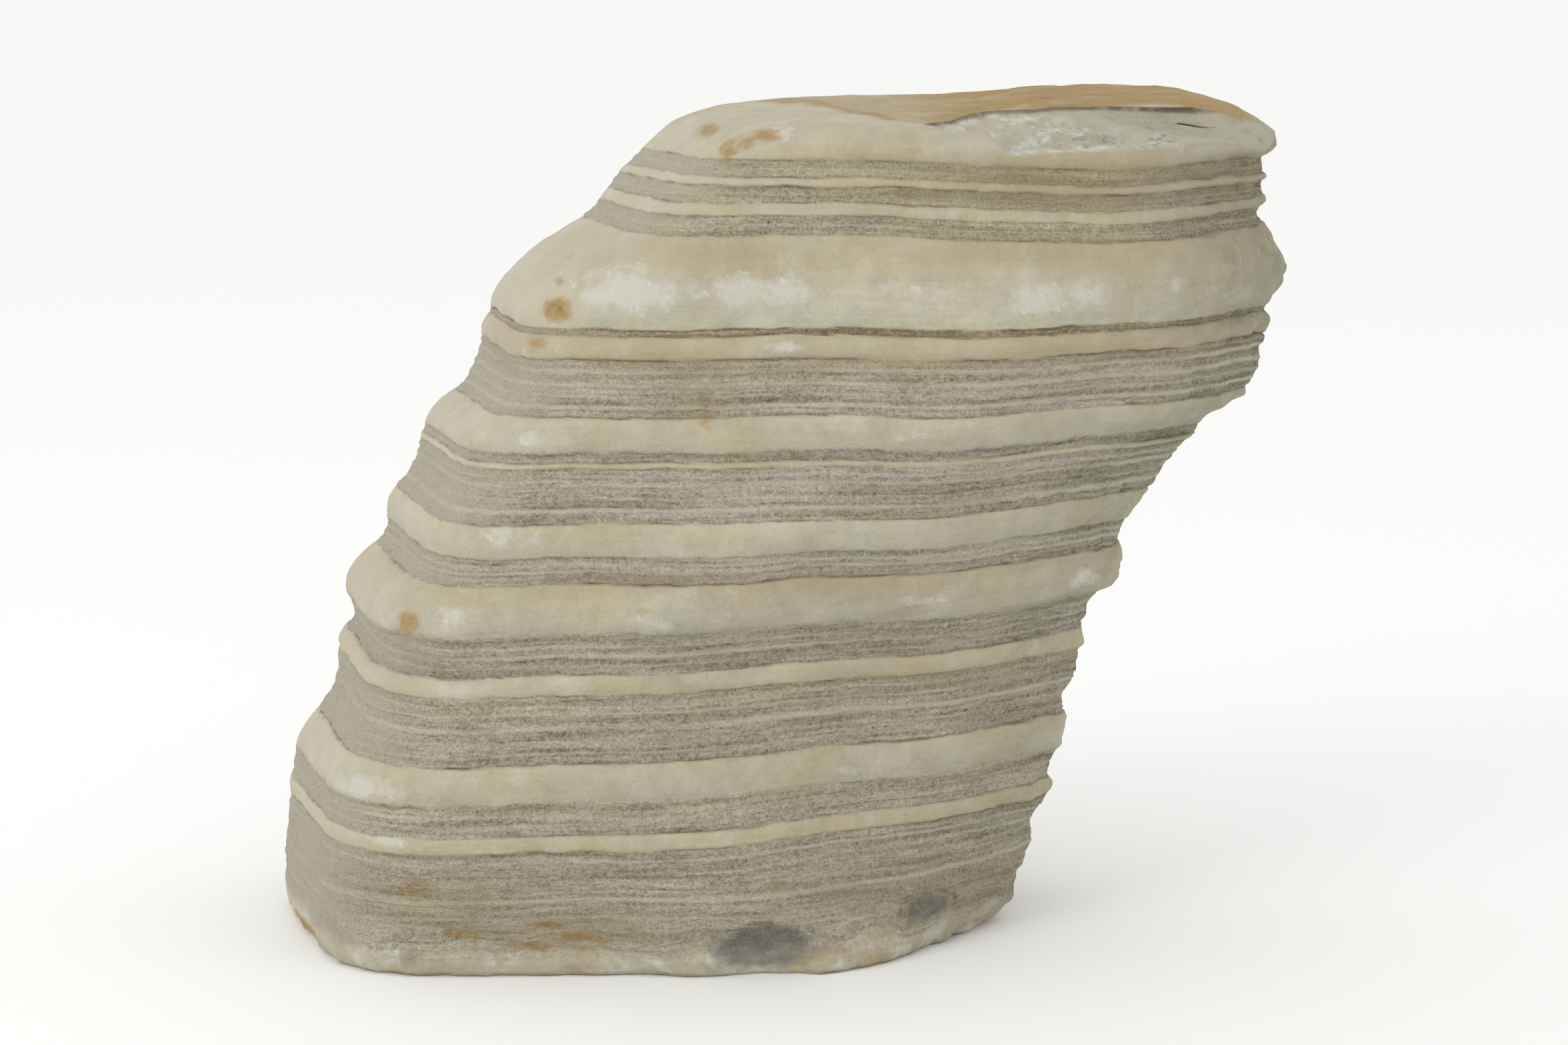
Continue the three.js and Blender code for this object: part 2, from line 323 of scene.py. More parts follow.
# The height in the stack whose colour the top takes.
TOP_COLOUR_HEIGHT = STACK - 4


def smooth(value, low, high):
    """Goes from 0 to 1 as the value goes from low to high, with soft ends."""
    share = np.clip((value - low) / (high - low), 0, 1)
    return share * share * (3 - 2 * share)


def hump(value, centre, half):
    """1 where the value is at the centre, and less to both sides of it."""
    return np.exp(-((value - centre) / half) ** 2)


def rough(x, y, z, size, seed):
    """Smooth noise from -1 to 1 with bumps of about the given size."""
    table = np.random.default_rng(seed).uniform(-1, 1, (NOISE_CELLS,) * 3)
    spots = [np.asarray(axis) / size for axis in (x, y, z)]
    cells = [np.floor(spot).astype(int) for spot in spots]
    shares = [spot - cell for spot, cell in zip(spots, cells)]
    shares = [share * share * (3 - 2 * share) for share in shares]
    total = 0
    for corner in range(8):
        steps = [(corner >> axis) & 1 for axis in range(3)]
        weight = 1
        for share, step in zip(shares, steps):
            weight = weight * (share if step else 1 - share)
        total = total + weight * table[tuple((cell + step) % NOISE_CELLS for cell, step in zip(cells, steps))]
    return total


def outline(height):
    """The corners of the stone's outline in plan at each height, counterclockwise."""
    left, right = left_edge(height), right_edge(height)
    turn, shoulder, back = front_turn(height), shoulder_depth(height), back_face(height)
    slant, width, level = right - turn, right - left, height * 0
    corners = [
        (left + 37, level + 1), ((left + 37 + turn) / 2, level), (turn, level + 1),
        (turn + 0.5 * slant, shoulder), (turn + 0.84 * slant, shoulder + 24), (right, level + NOSE_DEPTH),
        (right - 4, level + NOSE_DEPTH + 24), (right - 20, back - 17), (left + 0.66 * width, back - 4),
        (left + 0.36 * width, back), (left + 14, back - 9), (left, level + 88), (left + 4, level + 60),
        (left + 11, level + 32), (left + 16, level + 17), (left + 25, level + 6),
    ]
    return np.stack([np.stack(corner, -1) for corner in corners], 1)


def follow(corners, along):
    """Places and outward directions on the closed smooth line through the corners of each row."""
    count = corners.shape[1]
    first = np.floor(along * count).astype(int)
    share = (along * count - first)[None, :, None]
    before, start, end, after = (corners[:, (first + step) % count] for step in (-1, 0, 1, 2))

    def gap(a, b):
        return np.sum((b - a) ** 2, 2, keepdims=True) ** 0.25

    def slope(a, b, c):
        return (b - a) / gap(a, b) - (c - a) / (gap(a, b) + gap(b, c)) + (c - b) / gap(b, c)

    leaving = slope(before, start, end) * gap(start, end)
    arriving = slope(start, end, after) * gap(start, end)
    square = 3 * (end - start) - 2 * leaving - arriving
    cube = 2 * (start - end) + leaving + arriving
    place = start + leaving * share + square * share ** 2 + cube * share ** 3
    tangent = leaving + 2 * square * share + 3 * cube * share ** 2
    tangent = tangent / np.linalg.norm(tangent, axis=2, keepdims=True)
    return place, np.stack([tangent[..., 1], -tangent[..., 0]], -1)


def column_places(count):
    """Where the columns stand on the outline: closer together on the front and at its corners."""
    fine = np.linspace(0, 1, 4001)
    place, out = follow(outline(np.array([STACK / 2])), fine)
    step = np.linalg.norm(np.diff(place[0], axis=0), axis=1)
    weight = 1 + 1.2 * smooth(-out[0, :-1, 1], -0.1, 0.5)
    run = np.concatenate([[0], np.cumsum(step * weight)])
    return np.interp(np.arange(count) / count, run / run[-1], fine)


def bed_index(height):
    """Which bed of the list each height is in."""
    return np.clip(np.searchsorted(CONTACTS, height, side="right") - 1, 0, len(BEDS) - 1)


def seam_at(height):
    """How close a height is to an open seam, and how open that seam is."""
    total = np.zeros_like(height)
    for contact, seam in zip(CONTACTS, SEAMS):
        total = np.maximum(total, seam * hump(height, contact, SEAM_HALF))
    return total


def rib_at(height):
    """How close a height is to a rib, and how strong that rib is."""
    total = np.zeros_like(height)
    for up, half, strength in RIBS:
        total = np.maximum(total, strength * hump(height, up, half))
    return total


def silt_share(height):
    """1 in the silt beds and 0 in the marble, with a soft change above a marble bed's foot."""
    index = bed_index(height)
    lowest_bed = smooth(height, 2.5, 9.5)
    above_foot = 1 - smooth((height - CONTACTS[index]) / FOOT_FADES[index], 0, 1)
    return np.where(IS_MARBLE[index], np.where(index > 0, above_foot, lowest_bed), 1.0)


def relief(height):
    """How far the bed at a height stands out: a marble ledge is fullest low down and slopes back above."""
    index = bed_index(height)
    thick, reach = THICKNESSES[index], REACHES[index]
    share = np.clip((height - CONTACTS[index]) / thick, 0, 1)
    lip = 1 - np.exp(-share * thick / (0.2 * thick + 0.3))
    ledge = 1.25 * lip * (1 - share ** 2.2) ** 0.8
    worn = 1 - np.abs(2 * share - 1) ** 5
    return reach * np.where(reach > 0, ledge, worn)


def worn_left(x, left):
    """1 on the worn faces at the left end, and 0 away from them."""
    return smooth(left + 34 - x, 0, 26)


def relief_share(x, y, height, left, right):
    """How strongly the beds stand out: less on the worn left, more at the upper right."""
    worn = worn_left(x, left) * (1 - smooth(y, 92, 112))
    upper = smooth(x, right - 60, right - 20) * smooth(height, 172, 182)
    return 0.55 - 0.2 * worn + 0.1 * smooth(x, right - 26, right) + 0.45 * upper


def lump(x, y, height):
    """Broad swells of the whole wall."""
    return (0.6 * np.sin(x / 13 + height / 27 + 1.3) * np.sin(y / 19 + 0.4)
            + 0.4 * np.sin(x / 9 - height / 15 + y / 11 + 4))


def wander(x, y, height):
    """How far the beds rise and fall along the stone, from the foot bed to the bed under the top."""
    share = smooth(height, 0, 30) * (1 - smooth(height, 170, TOP_BED_FOOT))
    broad = x / 110 + 0.35 * np.sin(x / 9.5 + 0.9) + 0.3 * np.sin(x / 23 - y / 17 + 2.1)
    return share * (broad + 0.15 * rough(x, y, height, 9, 3))


def dip(x, height):
    """The upper beds hang a little at the right."""
    return -smooth(height, 148, 176) * (1.2 * smooth(x, 15, 50) + 1.3 * hump(x, 76, 20))


def scoop(x, y, height):
    """The depth of the two shallow scoops in the foot of the front."""
    main = np.clip(1 - ((x + 4) / 13) ** 2 - ((height - 4) / 9) ** 2, 0, 1)
    small = np.clip(1 - ((x - 34) / 8) ** 2 - ((height - 12) / 4) ** 2, 0, 1)
    return np.where(y < 40, 4.5 * main + 1.2 * small, 0)


def break_edge(x):
    """How far back the inner edge of the break is."""
    return np.interp(x, *np.array(BREAK_EDGE, float).T)


def break_share(x, y):
    """Where the rim is broken: to the right of a place on the front, up to the far corner."""
    return (smooth(x + 0.5 * y + 4 * rough(x, y, 0, 5, 13), 45, 53)
            * smooth(break_edge(x) + 6 - y, 0, 8))


def crack_insets(rim_x, rim_y, middle):
    """For each column, how far in from the rim its way to the middle crosses the inner edge of the break."""
    steps = np.linspace(0, 1, 400)[:, None]
    x, y = rim_x + (middle[0] - rim_x) * steps, rim_y + (middle[1] - rim_y) * steps
    found = steps[np.argmax(y >= break_edge(x), axis=0), 0]
    facing = smooth(middle[1] - rim_y, 0, 14) * smooth(rim_x, 10, 28)
    found = CRACK_RING + (found - CRACK_RING) * facing
    padded = np.concatenate([found[-1:], found, found[:1]])
    found = np.convolve(padded, np.array([0.25, 0.5, 0.25]), "valid")
    ragged = 0.02 * rough(rim_x, rim_y, 0, 4, 11) + 0.012 * rough(rim_x, rim_y, 0, 2, 12)
    return np.clip(found + ragged * facing, 0.12, 0.85)


def top(x, y, inset, crack):
    """The height of the top, with its gully, its rounded rim and the broken slope inside the crack."""
    rise = 0.052 + 0.028 * smooth(x, 36, 74)
    ends = 0.1 * np.maximum(0, 4 - x) + 0.2 * np.maximum(0, x - 98)
    gully = 1.5 * hump(x - 34 + 0.3 * (y - 30), 0, 13) * (1 - 0.8 * smooth(y, 20, 90))
    depth = np.clip(1 - inset / crack, 0, 1)
    chips = (2.8 * np.abs(rough(x, y, 0, 9, 21)) + 1.9 * np.abs(rough(x, y, 0, 4, 22))
             + 0.7 * rough(x, y, 0, 2, 24))
    fall = BREAK_STEP * smooth(depth, 0, 0.02) + BREAK_FALL * depth + chips * np.sin(np.pi * depth)
    broken = break_share(x, y)
    rim = RIM_DROP * (1 - broken) * np.maximum(0, 1 - inset / RIM_SHARE) ** 2
    uneven = 0.3 * rough(x, y, 5, 11, 23) + 0.15 * rough(x, y, 5, 4, 25)
    return TOP_FRONT + rise * np.minimum(y, 98) - ends - gully - broken * fall - rim + uneven


def wall_heights(row_height):
    """Heights down the wall: close together at seams and ribs, wide apart on the marble."""
    row = row_height / MM
    fine = np.arange(ARRIS_HEIGHT, RIM_HEIGHT, FINE_STEP)
    spacing = np.where(IS_MARBLE[bed_index(fine)], MARBLE_SPACING, 1.0) * row_height / MM
    for contact in CONTACTS[1:-1]:
        spacing = np.minimum(spacing, row * (0.46 + 2 * np.maximum(0, np.abs(fine - contact) - 0.7)))
    for up, half, _ in RIBS:
        spacing = np.minimum(spacing, row * (0.55 + 2 * np.maximum(0, np.abs(fine - up) - half)))
    count = np.cumsum(FINE_STEP / spacing)
    return np.interp(np.arange(int(count[-1]), 0, -1.0), count, fine)


def stone_rows(row_height):
    """Heights in the stack and shares of the way in to the middle, from the top's middle to the foot's."""
    insets = np.concatenate([
        np.linspace(0.98, 0.47, 16), CRACK_RING + np.array([0.03, 0.015, 0.007, 0.0]),
        CRACK_RING * np.array([0.99, 0.975, 0.95, 0.92]), np.linspace(0.37, 0.14, 20),
        np.linspace(0.125, 0.008, 12)])
    wall = wall_heights(row_height)
    arris = np.array(ARRIS)
    heights = np.concatenate([np.full(len(insets), STACK - 0.01), wall, arris[:, 0]])
    inwards = np.concatenate([insets, np.zeros(len(wall)), arris[:, 1]])
    return heights, inwards, len(insets)


def wall_values(x, y, height, right):
    """The height in the stack, silt, ribs, open seams and right end at each place of the wall; the right end
    is worn rough, and the finish paints shade on it.
    """
    held = smooth(height, 2, 12) * (1 - smooth(height, 190, 195))
    ragged = (0.2 * rough(x, y, height, 4, 31) + 0.15 * rough(x, y, 0, 2.2, 33)) * held
    uneven = (1.8 * rough(x, y, 0, 10, 34) + rough(x, y, 0, 3.5, 39)) * hump(height, 10, 5)
    bed_height = height + ragged + uneven
    # The right end: worn rougher in the wall, and painted darker in the finish as its shade.
    nose = smooth(x, right - 40, right)
    patchy = smooth(rough(x, y, 2 * height, 11, 35), -0.7, 0.5)
    seam = seam_at(bed_height) * patchy * (1 + 0.4 * nose)
    silt = silt_share(bed_height)
    uneven_rib = 0.4 + 0.6 * smooth(rough(x, y, 3 * height, 15, 36), -0.8, 0.1)
    rib = rib_at(height + 0.4 * ragged) * silt * uneven_rib
    return bed_height, silt, rib, seam, nose


def wall_push(x, y, height, left, right, wall):
    """How far each place of the wall stands out of the smooth outline."""
    bed_height, _, rib, seam, nose = wall
    beds = relief(bed_height) * relief_share(x, y, height, left, right)
    worn_foot = 1.6 * np.abs(rough(x, y, 0, 6, 37)) + 1.2 * np.abs(rough(x, y, 0, 2.5, 40))
    worn_nose = 1.5 * rough(x, y, height, 5, 43) + 0.8 * rough(x, y, height, 2.4, 44)
    dents = 0.4 * rough(x, y, height, 14, 32) + 0.25 * rough(x, y, height, 5, 38)
    near_foot = 1 - smooth(height, 0.0, 5.0)
    push = beds + lump(x, y, height) - scoop(x, y, height) - 0.55 * seam + 0.3 * rib
    return push - near_foot * worn_foot + nose * worn_nose + dents * smooth(height, 0, 20)


def bend_rings(ring, crack, is_top):
    """Bends the rings of the top so that one of them runs along the crack."""
    outer = ring * crack / CRACK_RING
    inner = crack + (ring - CRACK_RING) / (1 - CRACK_RING) * (1 - crack)
    return np.where(is_top, np.where(ring < CRACK_RING, outer, inner), ring)


def above_floor(x, y, height, inset, crack, is_top):
    """The height of each place above the floor: the top bed is stretched to meet the rim."""
    rim = top(x, y, 0, crack)
    top_foot = TOP_BED_FOOT + dip(x, TOP_BED_FOOT)
    near_top = top_foot + (height - TOP_BED_FOOT) * (rim - top_foot) / (RIM_HEIGHT - TOP_BED_FOOT)
    lower_beds = height + wander(x, y, height) + dip(x, height)
    wall = np.where(height <= TOP_BED_FOOT, lower_beds, near_top)
    return np.where(is_top, top(x, y, inset, crack), wall)


def stone_faces(rows, columns):
    """Faces of the wall and the rings, and a fan to the middle of the top and of the foot."""
    corner = np.arange(rows * columns).reshape(rows, columns)
    after = np.roll(corner, -1, axis=1)
    walls = np.stack([corner[:-1], corner[1:], after[1:], after[:-1]], -1).reshape(-1, 4)
    fans = [(rows * columns, a, b) for a, b in zip(corner[0], after[0])]
    fans += [(rows * columns + 1, b, a) for a, b in zip(corner[-1], after[-1])]
    return walls.tolist() + fans


def marks(x, y, z, spots):
    """The strongest of a list of soft marks at each place."""
    total = np.zeros_like(x)
    for across, behind, up, wide, high, strength in spots:
        level = ((x - across) ** 2 + (MARK_DEPTH_SHARE * (y - behind)) ** 2) / wide ** 2
        away = level + ((z - up) / high) ** 2
        total = np.maximum(total, strength * np.exp(-MARK_FADE * away))
    return total


def top_values(x, y, z, inset, crack, is_top):
    """Where the top is broken, how far down the slope it is, and where its bedding and its crack show."""
    depth = np.clip(1 - inset / crack, 0, 1)
    broken = is_top * smooth(depth, 0, 0.02) * break_share(x, y)
    line = 75 - 2.14 * (x - 3) + 5 * rough(x, y, 0, 12, 41) + 3 * rough(x, y, 0, 5, 42)
    behind_edge = np.maximum(smooth(y - break_edge(x), -1.5, 1.5), 1 - smooth(x, 12, 22))
    paler = 0.5 + 0.5 * np.maximum(smooth(x, 22, 44), hump(y - line, 6, 8))
    bedding = is_top * smooth(y - line, -7, 7) * (1 - broken) * smooth(inset, 0.03, 0.1) * behind_edge * paler
    rough_end = smooth(x, 82, 96) * (1 - smooth(y, 46, 62)) * smooth(z, 194, 198)
    rough_end = rough_end * (1 - smooth(bedding, 0, 0.5))
    return {
        "broken": np.maximum(broken, 0.8 * rough_end),
        "lower": np.maximum(broken * smooth(depth, 0.35, 0.8), 0.7 * rough_end),
        "bedding": bedding,
        "crack": is_top * break_share(x, y) * hump(inset, 0.995 * crack, 0.006),
    }


def stone_form(settings):
    """Points, faces and surface values of the whole stone, in millimetres."""
    heights, inwards, top_rows = stone_rows(settings.row_height)
    place, out = follow(outline(heights), column_places(settings.columns))
    x, y = place[..., 0], place[..., 1]
    height = heights[:, None] + 0 * x
    left, right = left_edge(heights)[:, None], right_edge(heights)[:, None]
    is_top = np.arange(len(heights))[:, None] < top_rows
    on_wall = np.minimum(height, RIM_HEIGHT)
    wall = wall_values(x, y, on_wall, right)
    bed_height, silt, rib, seam, nose = wall
    push = wall_push(x, y, on_wall, left, right, wall)
    x = x + out[..., 0] * push
    y = y + out[..., 1] * push

    middle = ((left[0, 0] + right[0, 0]) / 2, back_face(STACK) / 2)
    foot = ((left[-1, 0] + right[-1, 0]) / 2, back_face(0.0) / 2)
    crack = crack_insets(x[0], y[0], middle)[None, :]
    inset = bend_rings(inwards[:, None] + 0 * x, crack, is_top)
    x = x + ((left + right) / 2 - x) * inset
    y = y + (back_face(heights)[:, None] / 2 - y) * inset
    z = above_floor(x, y, height, inset, crack, is_top)
    peak = top(np.array(middle[0]), np.array(middle[1]), 1.0, 0.5)
    points = np.concatenate([np.stack([x, y, z], -1).reshape(-1, 3), [[*middle, float(peak)], [*foot, 0]]])

    values = {
        "stack": np.where(is_top, TOP_COLOUR_HEIGHT, bed_height),
        "silt": silt * ~is_top,
        "rib": rib * ~is_top,
        "seam": seam * ~is_top,
        "keep": smooth(z, 0.0, 3.0),
        **top_values(x, y, z, inset, crack, is_top),
        # The worn left end: smoother, and painted lighter in the finish as painted light on that side.
        "worn": worn_left(x, left) * (1 - smooth(y, 100, 122)) * ~is_top,
        # Where the right end is painted darker as shade, less on the top and low down.
        "nose": nose * (1 - 0.3 * is_top) * (0.3 + 0.7 * smooth(on_wall, 80, 150)),
        "behind": smooth(y, 55, 100),
        "rust": marks(x, y, z, RUST),
        # White calcite and painted highlights.
        "calcite_and_highlight": marks(x, y, z, CALCITE_AND_HIGHLIGHTS),
        "hollow": marks(x, y, z, HOLLOW),
        "stain": marks(x, y, z, STAIN),
        "foot": 1 - smooth(bed_height, 4, 13),
    }
    ends = {"stack": (TOP_COLOUR_HEIGHT, 0), "keep": (1, 0), "bedding": (1, 0)}
    for name, value in values.items():
        values[name] = np.concatenate([value.reshape(-1), ends.get(name, (0, 0))])
    return points, stone_faces(*x.shape), values


def stone_mesh(settings):
    """A mesh of the whole stone, closed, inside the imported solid's box."""
    points, faces, values = stone_form(settings)
    points = points * MM
    low, high = (np.array(corner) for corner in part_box("layered_stone"))
    own_low, own_high = points.min(0), points.max(0)
    points[:, :2] -= (own_low[:2] + own_high[:2]) / 2
    room = (high - low - np.array(BOX_MARGIN) * MM) / (own_high - own_low)
    points *= np.minimum(1, room)
    mesh = bpy.data.meshes.new("stone")
    mesh.from_pydata(points.tolist(), [], faces)
    mesh.polygons.foreach_set("use_smooth", np.ones(len(mesh.polygons), bool))
    for name, value in values.items():
        mesh.attributes.new(name, "FLOAT", "POINT").data.foreach_set("value", value.astype(np.float32))
    mesh.validate()
    mesh.update()
    return mesh


def keep_inside(mesh):
    """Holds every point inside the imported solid's box, and on its foot."""
    low, high = (np.array(corner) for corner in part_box("layered_stone"))
    places = np.empty(len(mesh.vertices) * 3)
    mesh.vertices.foreach_get("co", places)
    places = np.clip(places.reshape(-1, 3), low, high)
    mesh.vertices.foreach_set("co", places.reshape(-1))
    mesh.update()


def node(tree, kind, inputs=None, **settings):
    """Adds a node. An input takes a number, a colour or another node's socket."""
    made = tree.nodes.new(kind)
    for key, value in settings.items():
        setattr(made, key, value)
    for name, value in (inputs or {}).items():
        if isinstance(value, bpy.types.NodeSocket):
            tree.links.new(value, made.inputs[name])
        else:
            made.inputs[name].default_value = value
    return made


def maths(tree, operation, *values):
    """The result of one sum on sockets or numbers."""
    return node(tree, "ShaderNodeMath", dict(enumerate(values)), operation=operation).outputs[0]


def times(tree, *values):
    """The product of several sockets or numbers."""
    total = values[0]
    for value in values[1:]:
        total = maths(tree, "MULTIPLY", total, value)
    return total


def plus(tree, *values):
    """The sum of several sockets or numbers."""
    total = values[0]
    for value in values[1:]:
        total = maths(tree, "ADD", total, value)
    return total


def between(tree, share, low, high):
    """Goes from low to high as the share goes from 0 to 1."""
    return maths(tree, "MULTIPLY_ADD", share, high - low, low)


def lying(tree, apart, stack, spread):
    """Places that follow the beds: a small spread stretches a pattern along them."""
    return node(tree, "ShaderNodeCombineXYZ", {
        0: times(tree, apart[0], spread), 1: times(tree, apart[1], spread),
        2: times(tree, stack, MM)}).outputs[0]


def weathering_tree(finish):
    """Geometry Nodes that groove and pit the silt beds and dent the ledges along the surface's normals."""
    tree = bpy.data.node_groups.new("Weathering", "GeometryNodeTree")
    sockets = tree.interface
    sockets.new_socket("Geometry", in_out="INPUT", socket_type="NodeSocketGeometry")
    names = {}
    for name in ("Lamina depth", "Lamina spacing", "Pit depth", "Ledge wear", "Seed"):
        names[name] = sockets.new_socket(name, in_out="INPUT", socket_type="NodeSocketFloat").identifier
    sockets.new_socket("Geometry", in_out="OUTPUT", socket_type="NodeSocketGeometry")
    given = node(tree, "NodeGroupInput").outputs

    def value(name):
        made = node(tree, "GeometryNodeInputNamedAttribute", data_type="FLOAT")
        made.inputs["Name"].default_value = name
        return made.outputs["Attribute"]

    def noise(vector, scale, detail):
        inputs = {"Vector": vector, "W": given["Seed"], "Scale": scale, "Detail": detail}
        made = node(tree, "ShaderNodeTexNoise", inputs, noise_dimensions="4D")
        return maths(tree, "SUBTRACT", made.outputs[0], 0.5)

    place = node(tree, "GeometryNodeInputPosition").outputs[0]
    apart = node(tree, "ShaderNodeSeparateXYZ", {0: place}).outputs
    silt = value("silt")
    marble = maths(tree, "SUBTRACT", 1.0, silt)
    level = lying(tree, apart, value("stack"), 0.07)
    spacing = maths(tree, "DIVIDE", 1.0, given["Lamina spacing"])
    lamina = times(tree, noise(level, spacing, 1.5), given["Lamina depth"], between(tree, silt, 0.2, 2.0))
    pits = times(tree, maths(tree, "MINIMUM", noise(place, 330.0, 2.0), 0.04), given["Pit depth"],
                 between(tree, silt, 0.4, 3.0))
    dents = times(tree, noise(place, 75.0, 2.0), given["Ledge wear"], between(tree, marble, 0.6, 1.8))
    small_dents = times(tree, noise(place, 210.0, 2.0), given["Ledge wear"], between(tree, marble, 0.3, 0.6))
    chips = times(tree, noise(place, 260.0, 3.0), CHIP_DEPTH, value("broken"))
    total = times(tree, plus(tree, lamina, pits, dents, small_dents, chips), value("keep"))
    normal = node(tree, "GeometryNodeInputNormal").outputs[0]
    shift = node(tree, "ShaderNodeVectorMath", {0: normal, "Scale": total}, operation="SCALE").outputs[0]
    moved = node(tree, "GeometryNodeSetPosition", {"Geometry": given["Geometry"], "Offset": shift}).outputs[0]
    real = node(tree, "GeometryNodeRealizeInstances", {"Geometry": moved}).outputs[0]
    dressed = node(tree, "GeometryNodeSetMaterial", {"Geometry": real, "Material": finish}).outputs[0]
    node(tree, "NodeGroupOutput", {"Geometry": dressed})
    return tree, names


class Finish:
    """One material's nodes under short names, with the places and surface values that it reads."""

    def __init__(self, name, settings):
        self.settings = settings
        self.material = bpy.data.materials.new(name)
        self.material.use_nodes = True
        self.tree = self.material.node_tree
        self.tree.nodes.clear()
        self.place = node(self.tree, "ShaderNodeTexCoord").outputs["Object"]
        self.apart = node(self.tree, "ShaderNodeSeparateXYZ", {0: self.place}).outputs
        self.stack, self.silt, self.worn = (self.value(name) for name in ("stack", "silt", "worn"))
        self.marble = maths(self.tree, "SUBTRACT", 1.0, self.silt)

    def value(self, name):
        return node(self.tree, "ShaderNodeAttribute", attribute_name=name).outputs["Fac"]

    def colour(self, name):
        return (*getattr(self.settings, name), 1)

    def lying(self, spread):
        return lying(self.tree, self.apart, self.stack, spread)

    def noise(self, vector, scale, detail=2.0, roughness=0.5):
        """Noise from 0 to 1, with its scale in bumps to the metre."""
        inputs = {"Vector": vector, "Scale": scale, "Detail": detail, "Roughness": roughness}
        return node(self.tree, "ShaderNodeTexNoise", inputs).outputs[0]

    def ranged(self, source, low, high, to_low=0.0, to_high=1.0):
        """Takes one range of a source to another, and holds it there."""
        inputs = {"Value": source, "From Min": low, "From Max": high, "To Min": to_low, "To Max": to_high}
        return node(self.tree, "ShaderNodeMapRange", inputs).outputs[0]

    def blend(self, factor, under, over, mode="MIX"):
        inputs = {0: factor, 6: under, 7: over}
        return node(self.tree, "ShaderNodeMix", inputs, data_type="RGBA", blend_type=mode).outputs[2]

    def tint(self, under, name, *shares):
        """A colour of the settings over another, as far as the product of the shares goes."""
        return self.blend(times(self.tree, *shares), under, self.colour(name))

    def bump(self, height, distance, strength, normal=None):
        inputs = {"Height": height, "Distance": distance, "Strength": strength}
        if normal:
            inputs["Normal"] = normal
        return node(self.tree, "ShaderNodeBump", inputs).outputs[0]


def bed_ramp(finish, height, first, last):
    """A colour ramp over the beds from first up to last: sharp at a ledge's head, softer at its foot."""
    low, high = float(CONTACTS[first]), float(CONTACTS[last])
    ramp_node = node(finish.tree, "ShaderNodeValToRGB", {"Fac": finish.ranged(height, low, high)})
    stops = []
    for index in range(first, last):
        foot_colour, head_colour = BEDS[index][3:5]
        softness = max(CONTACT_SOFTNESS, FOOT_FADES[index]) if IS_MARBLE[index] else CONTACT_SOFTNESS
        stops.append((CONTACTS[index] + softness, foot_colour))
        stops.append((CONTACTS[index + 1] - CONTACT_SOFTNESS, head_colour))
    ramp = ramp_node.color_ramp
    while len(ramp.elements) < len(stops):
        ramp.elements.new(1.0)
    for element, (stop, colour) in zip(ramp.elements, stops):
        element.position = (stop - low) / (high - low)
        element.color = finish.colour(colour)
    return ramp_node.outputs["Color"]


def bed_colours(finish):
    """The colour of each bed, with ragged changes where a seam is open."""
    tree = finish.tree
    ragged = times(tree, finish.ranged(finish.noise(finish.place, 900.0, 3.0, 0.6), 0.25, 0.75, -0.45, 0.45),
                   between(tree, finish.value("seam"), 0.8, 2.2))
    height = plus(tree, finish.stack, ragged)
    lower = bed_ramp(finish, height, 0, RAMP_SPLIT)
    upper = bed_ramp(finish, height, RAMP_SPLIT, len(BEDS))
    return finish.blend(maths(tree, "GREATER_THAN", height, float(CONTACTS[RAMP_SPLIT])), lower, upper)


def cloud_marble(finish, base):
    """The marble clouded in tan, white and grey, and the foot mottled in white, grey and brown."""
    place, marble = finish.place, finish.marble
    noise, ranged, tint = finish.noise, finish.ranged, finish.tint
    cloud = noise(place, 34.0, 5.0, 0.62)
    base = tint(base, "tan", ranged(cloud, 0.50, 0.66), marble, 0.7)
    base = tint(base, "pale", ranged(cloud, 0.50, 0.34), marble, 0.7)
    base = tint(base, "cool", ranged(noise(finish.lying(0.6), 130.0, 5.0, 0.62), 0.52, 0.68), marble, 0.5)
    foot = finish.value("foot")
    base = tint(base, "calcite_and_highlight", foot, ranged(noise(place, 85.0, 5.0, 0.62), 0.48, 0.57), 0.9)
    base = tint(base, "silt_dark", foot, ranged(noise(place, 105.0, 5.0, 0.62), 0.48, 0.39), 0.75)
    return tint(base, "rust", foot, ranged(noise(finish.lying(0.4), 125.0, 4.0, 0.6), 0.54, 0.66), 0.5)


